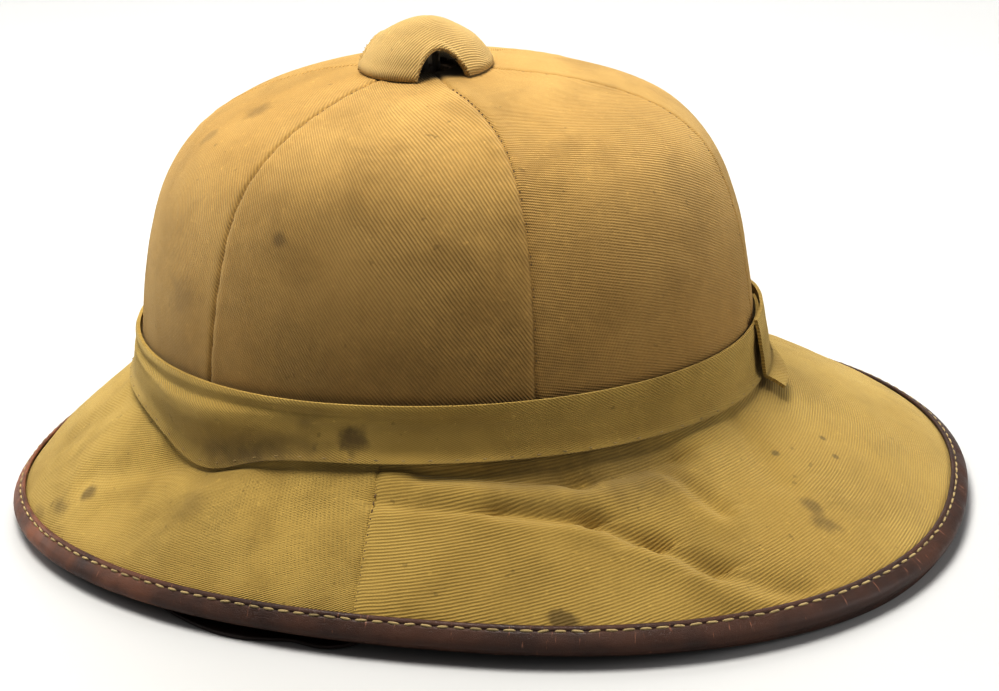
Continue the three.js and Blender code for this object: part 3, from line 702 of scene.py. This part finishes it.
drape = dent_bell * (3.3 * np.exp(-((DOWN - 0.4) / 0.23) ** 2) - 1.3 * ease((DOWN - 0.55) / 0.4))
lift = (CLOTH_OVER + 0.35 + hem + ridge + belly * 0.8 + foot + slack + drape
        + lap * LAP_LIFT * (1 + 0.5 * DOWN) + lap * end_flare * 0.9 * np.sin(np.pi * DOWN))
outer = base + off * (lift + 1.2)[..., None]
under = np.maximum(lift, CLOTH_OVER + 0.2)
inner = base + off * under[..., None]
length = np.concatenate([[0], np.cumsum(np.linalg.norm(np.diff(base[:, 6], axis=0), axis=-1))])
height = np.concatenate([np.zeros((len(stations), 1)),
                         np.cumsum(np.linalg.norm(np.diff(base, axis=1), axis=-1), axis=1)], 1)
uv = np.stack([np.broadcast_to(length[:, None], height.shape), height], -1) * MM
band = grid_solid("puggaree_band_cloth", outer, inner, uv)
finish_piece(band, band_cloth, ["puggaree_band"])
band_outer, band_off = outer, off

# ---------------------------------------------------------------- rim binding
SIDE_ARCH, ARCH_FROM, FOOT_HALF, CLEAR = 3.0, 0.42, 1.6, 0.3


def foot_height(az):
    return SIDE_ARCH * ease((np.abs(np.sin(np.radians(az))) - ARCH_FROM) / (1 - ARCH_FROM))


def smooth_path(points, count):
    """Even points on a smooth open curve through the given ones (k x n x 3)."""
    k = points.shape[0]
    out = []
    for value in np.linspace(0, k - 1 - 1e-9, count):
        i = int(value)
        f = value - i
        a, b = points[max(i - 1, 0)], points[i]
        c, d = points[min(i + 1, k - 1)], points[min(i + 2, k - 1)]
        out.append(0.5 * (2 * b + (c - a) * f + (2 * a - 5 * b + 4 * c - d) * f * f
                          + (3 * b - a - 3 * c + d) * f ** 3))
    return np.array(out)


rim_az = spaced(-180, 180, 0.75)[:-1]
edge = face(ROW_RIM + 0 * rim_az, rim_az)
around, off, out_dir = face_frame(ROW_RIM + 0 * rim_az, rim_az)


def at(out_by, up_by):
    return edge + out_dir * out_by + off * up_by


wavy = 0.16 * np.sin(np.radians(rim_az) * 61) * np.sin(np.radians(rim_az) * 17 + 1)
outwards = np.cross(around, [0, 0, 1.0])
outwards /= np.linalg.norm(outwards, axis=-1, keepdims=True)
corner = at(CLEAR, -CORK_WALL - CLEAR)
feet = []
for shift, up in ((2.1, 0.9), (FOOT_HALF, 0.12), (0, 0.0), (-FOOT_HALF, 0.0), (-FOOT_HALF - 1.2, 0.5)):
    point = corner + outwards * shift
    point[:, 2] = foot_height(rim_az) + up
    feet.append(point)
section = np.array([
    at(-6.5, 2.05) + off * wavy[:, None] * 0.3,
    at(-6.65, 2.6), at(-6.0, 3.05), at(-5.2, 3.15), at(-4.75, 2.72), at(-4.2, 3.12), at(-3.0, 3.3),
    at(-0.9, 3.35), at(0.9, 2.75), at(1.9, 1.3), at(2.15, -0.6), at(2.0, -2.3),
    *feet, at(-4.5, -6.1), at(-6.4, -5.5), at(-6.5, -4.9),
])
outer_path = smooth_path(section, 46)
inner_path = smooth_path(np.array([
    at(-6.3, 1.8), at(-3.0, 1.7), at(CLEAR, 1.7), at(CLEAR, -0.5), at(CLEAR, -2.2),
    at(CLEAR, -CORK_WALL - CLEAR), at(-3.0, -CORK_WALL - 0.5), at(-6.3, -CORK_WALL - 0.6),
]), 46)
outer_path[..., 2] = np.maximum(outer_path[..., 2], foot_height(rim_az)[None, :])
outer, inner = np.swapaxes(outer_path, 0, 1), np.swapaxes(inner_path, 0, 1)
rim_len = np.concatenate([[0], np.cumsum(np.linalg.norm(np.diff(edge, axis=0), axis=-1))])
prof = np.concatenate([[0], np.cumsum(np.linalg.norm(np.diff(outer[0], axis=0), axis=-1))])
uv = np.stack([np.broadcast_to(rim_len[:, None], (len(rim_az), 46)),
               np.broadcast_to(prof[None, :], (len(rim_az), 46))], -1) * MM
binding = grid_solid("rim_binding_leather", outer, inner, uv, looped=True)
finish_piece(binding, rim_leather, ["rim_binding"])


# ---------------------------------------------------------------- stitches
def stitch_mesh(name, centres, dirs, ups, length, thick, rise, segments=6, sides=6, jitter=0.06):
    """One joined mesh of arched thread stitches (all lengths in mm)."""
    verts, faces, uvs = [], [], []
    for c, t, u in zip(centres, dirs, ups):
        t = t / np.linalg.norm(t)
        u = u - t * np.dot(u, t)
        u = u / np.linalg.norm(u)
        s = np.cross(t, u)
        tilt = rng.normal(0, jitter)
        t = t * math.cos(tilt) + s * math.sin(tilt)
        s = np.cross(t, u)
        long = length * (1 + rng.normal(0, 0.05))
        start = len(verts)
        for i in range(segments + 1):
            v = i / segments * 2 - 1
            mid = c + t * v * long / 2 + u * (rise * (1 - v ** 2) - 0.35 * thick * v ** 4)
            r = thick / 2 * (1 - 0.35 * v ** 6)
            for j in range(sides):
                a = 2 * math.pi * j / sides
                verts.append((mid + (s * math.cos(a) * 1.1 + u * math.sin(a)) * r) * MM)
                uvs.append((v * long * MM, j * 0.0001))
        for i in range(segments):
            for j in range(sides):
                k = (j + 1) % sides
                faces.append((start + i * sides + j, start + (i + 1) * sides + j,
                              start + (i + 1) * sides + k, start + i * sides + k))
        faces.append(tuple(start + j for j in range(sides)))
        faces.append(tuple(start + segments * sides + j for j in reversed(range(sides))))
    return make_mesh(name, np.array(verts), faces, np.array(uvs))


def evenly(points, spacing, closed=False):
    """Places, directions and indices at even spacing on a polyline."""
    p = np.concatenate([points, points[:1]]) if closed else points
    run = np.concatenate([[0], np.cumsum(np.linalg.norm(np.diff(p, axis=0), axis=-1))])
    count = max(2, int(round(run[-1] / spacing)))
    at_len = (np.arange(count) + 0.5) * run[-1] / count
    place = np.stack([np.interp(at_len, run, p[:, i]) for i in range(3)], -1)
    ahead = np.stack([np.interp(at_len + 0.4, run, p[:, i]) for i in range(3)], -1)
    behind = np.stack([np.interp(at_len - 0.4, run, p[:, i]) for i in range(3)], -1)
    share = np.interp(at_len, run, np.arange(len(p)))
    return place, ahead - behind, share


def spread(values, share, closed=False):
    v = np.concatenate([values, values[:1]]) if closed else values
    i = np.minimum(share.astype(int), len(v) - 2)
    f = (share - i)[:, None]
    return v[i] * (1 - f) + v[i + 1] * f


RIM_STITCH_PITCH = 5.4
line = at(-4.75, 2.95)
place, heading, share = evenly(line, RIM_STITCH_PITCH, closed=True)
ups = spread(off, share, True)
stitches = stitch_mesh("rim_stitches", place, heading, ups, 3.9, 0.85, 0.12, jitter=0.09)
finish_piece(stitches, pale_thread)
line = at(-4.9, -5.75)
place, heading, share = evenly(line, RIM_STITCH_PITCH, closed=True)
ups = -spread(off, share, True)
under = stitch_mesh("rim_stitches_under", place, heading, ups, 3.6, 0.8, 0.1, segments=4)
finish_piece(under, pale_thread)

# Seam stitches of the crown and of the brim, sunk in the seam line.
SEAM_SUNK = 0.42


def seam_line(rows, azimuth, pitch):
    """Places, directions and ups of stitches down a seam."""
    az = np.full(len(rows), azimuth)
    base, outward = face(rows, az), face_frame(rows, az)[1]
    place, heading, share = evenly(base + outward * (CLOTH_OVER - SEAM_SUNK), pitch)
    return place, heading, spread(outward, share)


lines = [seam_line(spaced(1.2, ROW_TOP - 0.1, 0.1), -180.0 + 60 * k + 0.35, 2.7) for k in range(6)]
lines += [seam_line(spaced(ROW_BRIM + 0.3, ROW_RIM - 0.35, 0.1), side + 0.2, 2.9) for side in (-90.0, 90.0)]
places, headings, ups = (np.concatenate(column) for column in zip(*lines))
seams = stitch_mesh("seam_stitches", places, headings, ups, 1.4, 0.46, 0.05, segments=3, sides=5)
finish_piece(seams, dark_thread)

# Hand stitches that hold the band, low on it.
low = int(np.argmin(np.abs(band_shares - 0.9)))
keep = (stations > -352)
p, d, share = evenly(band_outer[keep][:, low], 9.0)
ups = spread(band_off[keep][:, low], share)
tacks = stitch_mesh("band_stitches", p, d, ups, 1.6, 0.5, 0.05, segments=3, sides=5)
finish_piece(tacks, band_thread)

# ---------------------------------------------------------------- vent cap
CAP_BASE, CAP_R, CAP_H, CAP_POINT, CAP_WALL = 159.1, 23.8, 17.6, 1.65, 2.4
ARCHES, ARCH_HALF, ARCH_HIGH = (-60, 60, 180), 22.5, 9.3


def arch(az):
    away = np.min([np.abs(turn(a, az)) for a in ARCHES], axis=0)
    inside = np.clip(1 - (away / ARCH_HALF) ** 2.2, 0, 1)
    return ARCH_HIGH * inside ** 0.62


cap_az = spaced(-180, 180, 1.0)[:-1]
tilts = np.r_[spaced(0, 0.9, 0.03), 0.93, 0.96, 0.98, 1.0]


def cap_grid(shrink, lip):
    radius, height = CAP_R - shrink, CAP_H - shrink
    lowest = np.arccos(np.clip((arch(cap_az) + lip) / height, 0, 1) ** (CAP_POINT / 2))
    angle = lowest[:, None] * tilts[None, :]
    reach = radius * np.sin(angle) ** (2 / CAP_POINT)
    z = CAP_BASE + height * np.cos(angle) ** (2 / CAP_POINT)
    a = np.radians(cap_az)[:, None]
    return np.stack([CAP_X + reach * np.cos(a), reach * np.sin(a), z + 0 * a], -1)


outer, inner = cap_grid(0, 0.0), cap_grid(CAP_WALL, 0.0)
# The lip is a padded roll: the last rows turn under to meet the inner face.
mid = (outer[:, -1] + inner[:, -1]) / 2
roll = ease((tilts - 0.86) / 0.14)[None, :, None]
pinch = 0.28 * roll
bulge = np.sin(np.pi * np.clip((tilts - 0.78) / 0.22, 0, 1))[None, :, None]
centre = np.array([CAP_X, 0, CAP_BASE])
direction = outer - centre
direction /= np.linalg.norm(direction, axis=-1, keepdims=True)
outer = outer + direction * (0.55 * bulge) - (outer - mid[:, None]) * pinch
inner = inner - (inner - mid[:, None]) * pinch
outer += direction * (0.25 * ripple(outer * 2.2))[..., None] * (1 - roll) * ease(tilts / 0.4)[None, :, None]
v = np.concatenate([np.zeros((len(cap_az), 1)),
                    np.cumsum(np.linalg.norm(np.diff(outer, axis=1), axis=-1), axis=1)], 1)
turned = np.radians(cap_az)[:, None]
cap_uv = np.stack([v * np.cos(turned), v * np.sin(turned)], -1) * MM
cap = grid_solid("vent_cap_cloth", outer, inner, cap_uv, looped=True)
finish_piece(cap, cap_cloth, ["vent_cap"])
# Painted shade: the cap's inward-facing faces get a near-black material in place of the shadow inside the
# cap.
cap.data.materials.append(cap_inside_painted_shade)
axis_point = Vector((CAP_X * MM, 0, (CAP_BASE - 12) * MM))
for polygon in cap.data.polygons:
    if polygon.normal.dot((polygon.center - axis_point).normalized()) < -0.35:
        polygon.material_index = 1

# Ribs of doubled cloth on the arch lips, gathered round the edge.
places, headings, ups = [], [], []
for a0 in ARCHES:
    for step in np.linspace(-24, 24, 33):
        az = a0 + step
        j = int(round((az + 180) % 360)) % 360
        inward = (inner[j, -1] - outer[j, -3])
        places.append((outer[j, -3] + inner[j, -2]) / 2 + direction[j, -1] * 0.25)
        headings.append(inward)
        ups.append(-np.array([0, 0, 1.0]) + direction[j, -1] * 0.3)
ribs = stitch_mesh("vent_lip_ribs", np.array(places), np.array(headings), np.array(ups), 2.9, 0.66, 0.1,
                   segments=5, sides=6, jitter=0.05)
finish_piece(ribs, cap_cloth)

# ---------------------------------------------------------------- chin strap
STRAP_ROUTE = np.array([
    (18, -82.5, 61.0, 82), (15, -84.0, 51.0, 76), (11, -91.0, 37.0, 62), (5, -103.0, 23.0, 48),
    (-2, -116.0, 11.0, 34), (-11, -127.5, 4.0, 14), (-22, -132.5, 0.9, 0), (-35, -129.5, 0.75, 0),
    (-52, -130.0, 0.75, 0), (-67, -124.5, 0.75, 0), (-84, -112.5, 0.75, 0), (-100, -97.0, 0.75, 0),
    (-114, -74.0, 0.75, 0), (-125, -42.0, 0.75, 0), (-130, -14.0, 0.75, 0),
])
STRAP_WIDE, STRAP_THICK = 11.0, 1.3
route = np.concatenate([STRAP_ROUTE, (STRAP_ROUTE * [1, -1, 1, 1])[::-1]])
path4 = smooth_path(route[:, None, :], 900)[:, 0]
run = np.concatenate([[0], np.cumsum(np.linalg.norm(np.diff(path4[:, :3], axis=0), axis=-1))])
even = np.linspace(0, run[-1], 330)
path4 = np.stack([np.interp(even, run, path4[:, i]) for i in range(4)], -1)
mid_line, lean = path4[:, :3], np.radians(path4[:, 3])
tangent = np.gradient(mid_line, axis=0)
tangent /= np.linalg.norm(tangent, axis=-1, keepdims=True)
outs = np.stack([(mid_line[:, 0] - CAP_X) * 0.4, mid_line[:, 1], 0 * even], -1)
outs /= np.linalg.norm(outs, axis=-1, keepdims=True)
strap_up = np.array([0, 0, 1.0]) * np.cos(lean)[:, None] + outs * np.sin(lean)[:, None]
strap_up -= tangent * (strap_up * tangent).sum(-1, keepdims=True)
strap_up /= np.linalg.norm(strap_up, axis=-1, keepdims=True)
strap_side = np.cross(strap_up, tangent)
# Half of the strap's section from its edge to its middle, as shares of its
# width and thickness, with the pressed line inside the edge.
half = np.array([(-0.5, 0.25), (-0.49, 0.42), (-0.46, 0.5), (-0.40, 0.5), (-0.36, 0.44), (-0.32, 0.5)])
across = np.concatenate([half, [(0, 0.5)], half[::-1] * [-1, 1]])


def strap_face(sign):
    points = [mid_line + strap_side * w * STRAP_WIDE + sign * strap_up * h * STRAP_THICK for w, h in across]
    return np.stack(points, 1)


top, low_face = strap_face(1), strap_face(-1)
low_face[..., 2] = np.maximum(low_face[..., 2], 0.02)
top[..., 2] = np.maximum(top[..., 2], 0.1)
uv = np.stack([np.broadcast_to(even[:, None], top.shape[:2]),
               np.broadcast_to(across[None, :, 0] * STRAP_WIDE, top.shape[:2])], -1) * MM
strap = grid_solid("chin_strap_leather", top, low_face, uv)
finish_piece(strap, strap_leather, ["chin_strap"])

for node in ("vent_post", "strap_stud_near", "strap_stud_far"):
    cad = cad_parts[node]
    cad.data.materials.clear()
    cad.data.materials.append(metal_look)


# ---------------------------------------------------------------- surroundings
def plain(name, colour, rough):
    n = Nodes(name)
    faint = n.noise(n.place(), 3, 2)
    n.link(n.mix(faint, colour, tuple(c * 0.985 for c in colour)), n.bsdf.inputs["Base Color"])
    n.bsdf.inputs["Roughness"].default_value = rough
    n.bsdf.inputs["Specular IOR Level"].default_value = 0.1
    return n.material


FLOOR_HALF, FLOOR_DOWN = 6, 0.0002
corners = [(x * FLOOR_HALF, y * FLOOR_HALF, -FLOOR_DOWN) for x, y in ((-1, -1), (1, -1), (1, 1), (-1, 1))]
floor = make_mesh("floor", corners, [(0, 1, 2, 3)], smooth=False)
floor.data.materials.append(plain("pale_floor", (0.5, 0.5, 0.497), 0.9))
floor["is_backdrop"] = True

world = bpy.data.worlds.new("studio")
bpy.context.scene.world = world
world.use_nodes = True
world.node_tree.nodes["Background"].inputs["Color"].default_value = (1.0, 1.0, 1.0, 1)
world.node_tree.nodes["Background"].inputs["Strength"].default_value = 0.24


def lamp(name, place, aim, size, power, colour=(1, 1, 1)):
    light = bpy.data.lights.new(name, "AREA")
    light.shape = "DISK"
    light.size = size
    light.energy = power
    light.color = colour
    made = bpy.data.objects.new(name, light)
    bpy.context.scene.collection.objects.link(made)
    made.location = place
    made.rotation_euler = (Vector(aim) - Vector(place)).to_track_quat("-Z", "Y").to_euler()
    return made


lamp("over", (-0.25, -0.12, 1.5), (0, 0, 0.08), 0.8, 35, (1.0, 0.98, 0.94))
lamp("over_behind", (-0.1, 1.2, 1.25), (0, 0, 0.08), 1.1, 18)
lamp("left_side", (-1.5, 0.25, 0.7), (0, 0, 0.06), 0.9, 10)
lamp("right_side", (1.5, 0.05, 0.45), (0, 0, 0.06), 0.9, 13)

scene = bpy.context.scene
scene.view_settings.view_transform = "Standard"
scene.view_settings.look = "None"
scene.view_settings.exposure = 0.0
scene.view_settings.gamma = 0.75

# ---------------------------------------------------------------- camera
AZIMUTH, ELEVATION, DISTANCE, ROLL = 13.6, 20.64, 0.9, -2.11
AIM_ACROSS, AIM_UP, FOCAL = 0.0057, 0.0545, 88.9
a, e = math.radians(AZIMUTH), math.radians(ELEVATION)
aim = Matrix.Rotation(a, 4, "Z") @ Vector((AIM_ACROSS, 0, AIM_UP))
back = Matrix.Rotation(a, 4, "Z") @ Vector((0, -math.cos(e), math.sin(e)))
camera_data = bpy.data.cameras.new("camera")
camera_data.lens = FOCAL
camera_data.sensor_width = 36
camera = bpy.data.objects.new("camera", camera_data)
scene.collection.objects.link(camera)
looking = (-back).to_track_quat("-Z", "Y").to_matrix().to_4x4()
rotation = looking @ Matrix.Rotation(math.radians(ROLL), 4, "Z")
camera.matrix_world = Matrix.Translation(aim + back * DISTANCE) @ rotation
scene.camera = camera

bpy.context.view_layer.update()
low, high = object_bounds()
